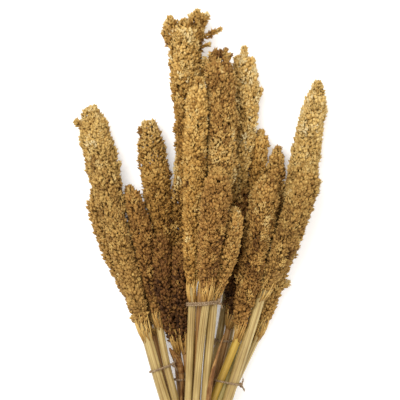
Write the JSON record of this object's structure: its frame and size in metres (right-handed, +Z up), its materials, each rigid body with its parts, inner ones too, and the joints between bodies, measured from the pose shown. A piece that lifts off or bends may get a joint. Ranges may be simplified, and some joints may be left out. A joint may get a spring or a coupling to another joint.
{
  "type": "bundle of dried grass",
  "caption": "Bundle of dried sorghum stalks with long dense seed heads, in small twine-tied bunches gathered by one tie, lying on its side",
  "frame": {"origin": "on the surface the bundle lies on, under the middle of its bounding box", "axes": "+Y from the cut ends towards the tips of the heads, +X across the bundle, +Z up from the surface"},
  "size_m": [0.2954, 0.6188, 0.1028],
  "materials": {
    "pale_grain": "dry matt grain, pale straw",
    "straw_grain": "dry matt grain, brown straw",
    "golden_grain": "dry matt grain, golden",
    "dry_stem": "dry cane with a faint waxy shine",
    "yellow_stem": "dry cane, yellow",
    "dry_leaf": "papery dry leaf sheath",
    "twine": "twisted natural fibre, matt"
  },
  "bodies": {
    "root": {"head_back_left_leaning": "golden_grain", "head_back_left_short": "straw_grain", "head_back_left_stub": "straw_grain", "head_back_left_tall": "golden_grain", "head_back_right_bright": "golden_grain", "head_back_right_deep": "straw_grain", "head_back_right_loose": "golden_grain", "head_left_inner": "straw_grain", "head_left_outer": "pale_grain", "head_left_under": "pale_grain", "head_middle_dark": "straw_grain", "head_middle_front": "straw_grain", "head_middle_golden": "golden_grain", "head_middle_side": "straw_grain", "head_right_front": "straw_grain", "head_right_inner": "straw_grain", "head_right_outer": "pale_grain", "head_right_small": "straw_grain", "leaf_sheath_1": "dry_leaf", "leaf_sheath_2": "dry_leaf", "leaf_sheath_3": "dry_leaf", "leaf_sheath_4": "dry_leaf", "stem_back_left_leaning": "dry_stem", "stem_back_left_short": "dry_stem", "stem_back_left_stub": "dry_stem", "stem_back_left_tall": "dry_stem", "stem_back_right_bright": "dry_stem", "stem_back_right_deep": "dry_stem", "stem_back_right_loose": "dry_stem", "stem_left_inner": "dry_stem", "stem_left_outer": "dry_stem", "stem_left_under": "dry_stem", "stem_middle_dark": "dry_stem", "stem_middle_front": "dry_stem", "stem_middle_golden": "dry_stem", "stem_middle_side": "dry_stem", "stem_right_front": "dry_stem", "stem_right_inner": "yellow_stem", "stem_right_outer": "dry_stem", "stem_right_small": "dry_stem", "twine_back_left": "twine", "twine_back_right": "twine", "twine_left": "twine", "twine_main": "twine", "twine_middle": "twine", "twine_right": "twine"}
  },
  "joints": []
}
